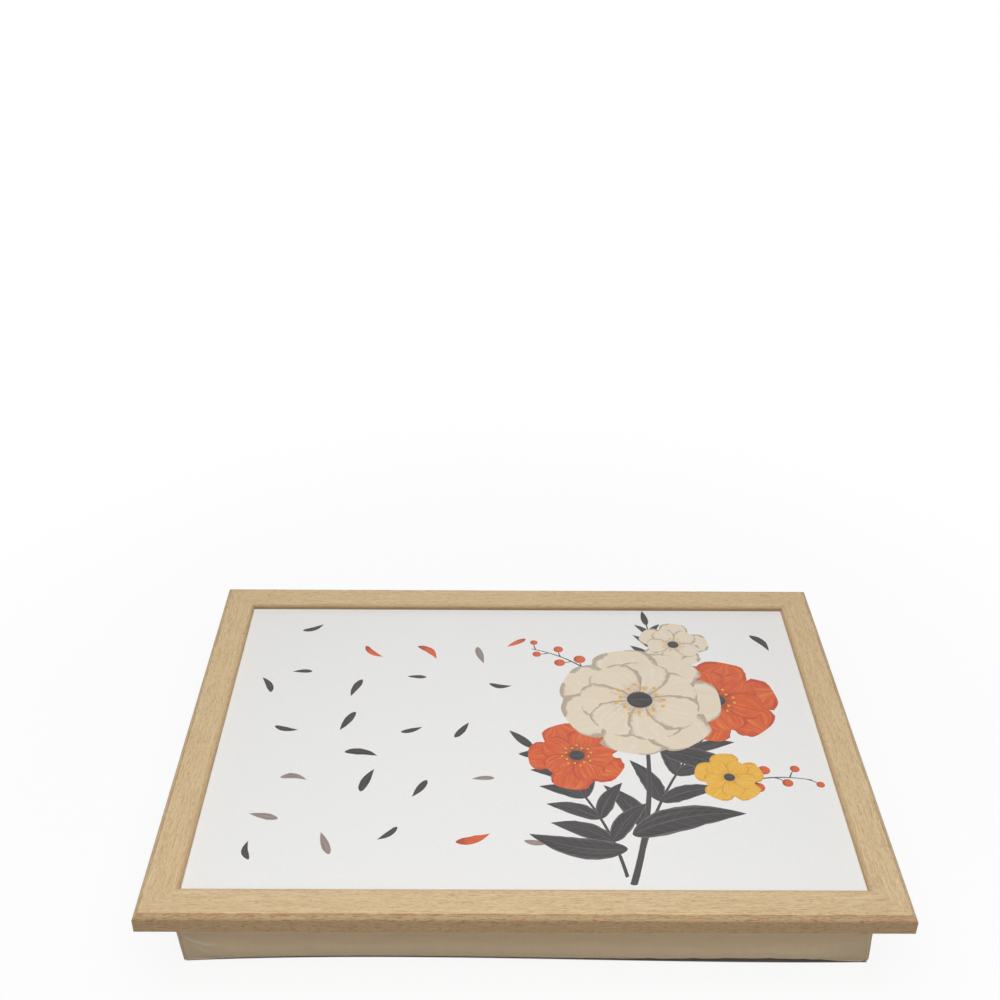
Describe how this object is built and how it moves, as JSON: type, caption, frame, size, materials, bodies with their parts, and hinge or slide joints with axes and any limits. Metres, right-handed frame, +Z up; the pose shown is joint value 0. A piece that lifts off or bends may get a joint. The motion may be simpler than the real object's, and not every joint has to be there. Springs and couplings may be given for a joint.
{
  "type": "lap tray",
  "caption": "Rectangular lap tray: a mitred wood-effect frame round a printed white board, on a soft boxed bead cushion that lifts off by hook-and-loop tape.",
  "frame": {"origin": "bottom centre of the cushion, on the surface it rests on", "axes": "+X along the tray's width to the user's right, +Y away from the user to the back rail, +Z up"},
  "size_m": [0.44, 0.32, 0.0566],
  "materials": {
    "wood_foil": "satin",
    "printed_face": "satin",
    "fibre_core": "matte",
    "backing_paper": "matte",
    "zinc_steel": "satin",
    "hook_nylon": "matte",
    "loop_nylon": "matte",
    "cover_cloth": "matte",
    "bag_cloth": "matte",
    "beads": "matte"
  },
  "bodies": {
    "cushion_base": {"cover_base": "cover_cloth", "inner_bag": "bag_cloth", "bead_fill": "beads", "gusset_front": "cover_cloth", "gusset_back": "cover_cloth", "gusset_left": "cover_cloth", "gusset_right": "cover_cloth"},
    "cushion_top": {"cover_top": "cover_cloth", "loop_tape_front": "loop_nylon", "loop_tape_back": "loop_nylon", "loop_tape_left": "loop_nylon", "loop_tape_right": "loop_nylon"},
    "tray": {"rail_front": "wood_foil", "rail_back": "wood_foil", "rail_left": "wood_foil", "rail_right": "wood_foil", "corner_nails": "zinc_steel", "framer_points": "zinc_steel", "backing_laminate": "backing_paper", "core_board": "fibre_core", "face_laminate": "printed_face", "hook_tape_front": "hook_nylon", "hook_tape_back": "hook_nylon", "hook_tape_left": "hook_nylon", "hook_tape_right": "hook_nylon"}
  },
  "joints": [
    {"name": "cushion_settle", "type": "slide", "parent": "cushion_base", "child": "cushion_top", "axis": [0, 0, 1], "range_m": [-0.008, 0], "stiffness_N_per_m": 2000, "springref_m": 0.004, "deforming": ["bead_fill", "inner_bag", "gusset_front", "gusset_back", "gusset_left", "gusset_right"]},
    {"name": "tray_lift", "type": "slide", "parent": "cushion_top", "child": "tray", "axis": [0, 0, 1], "range_m": [0, 0.08]}
  ]
}
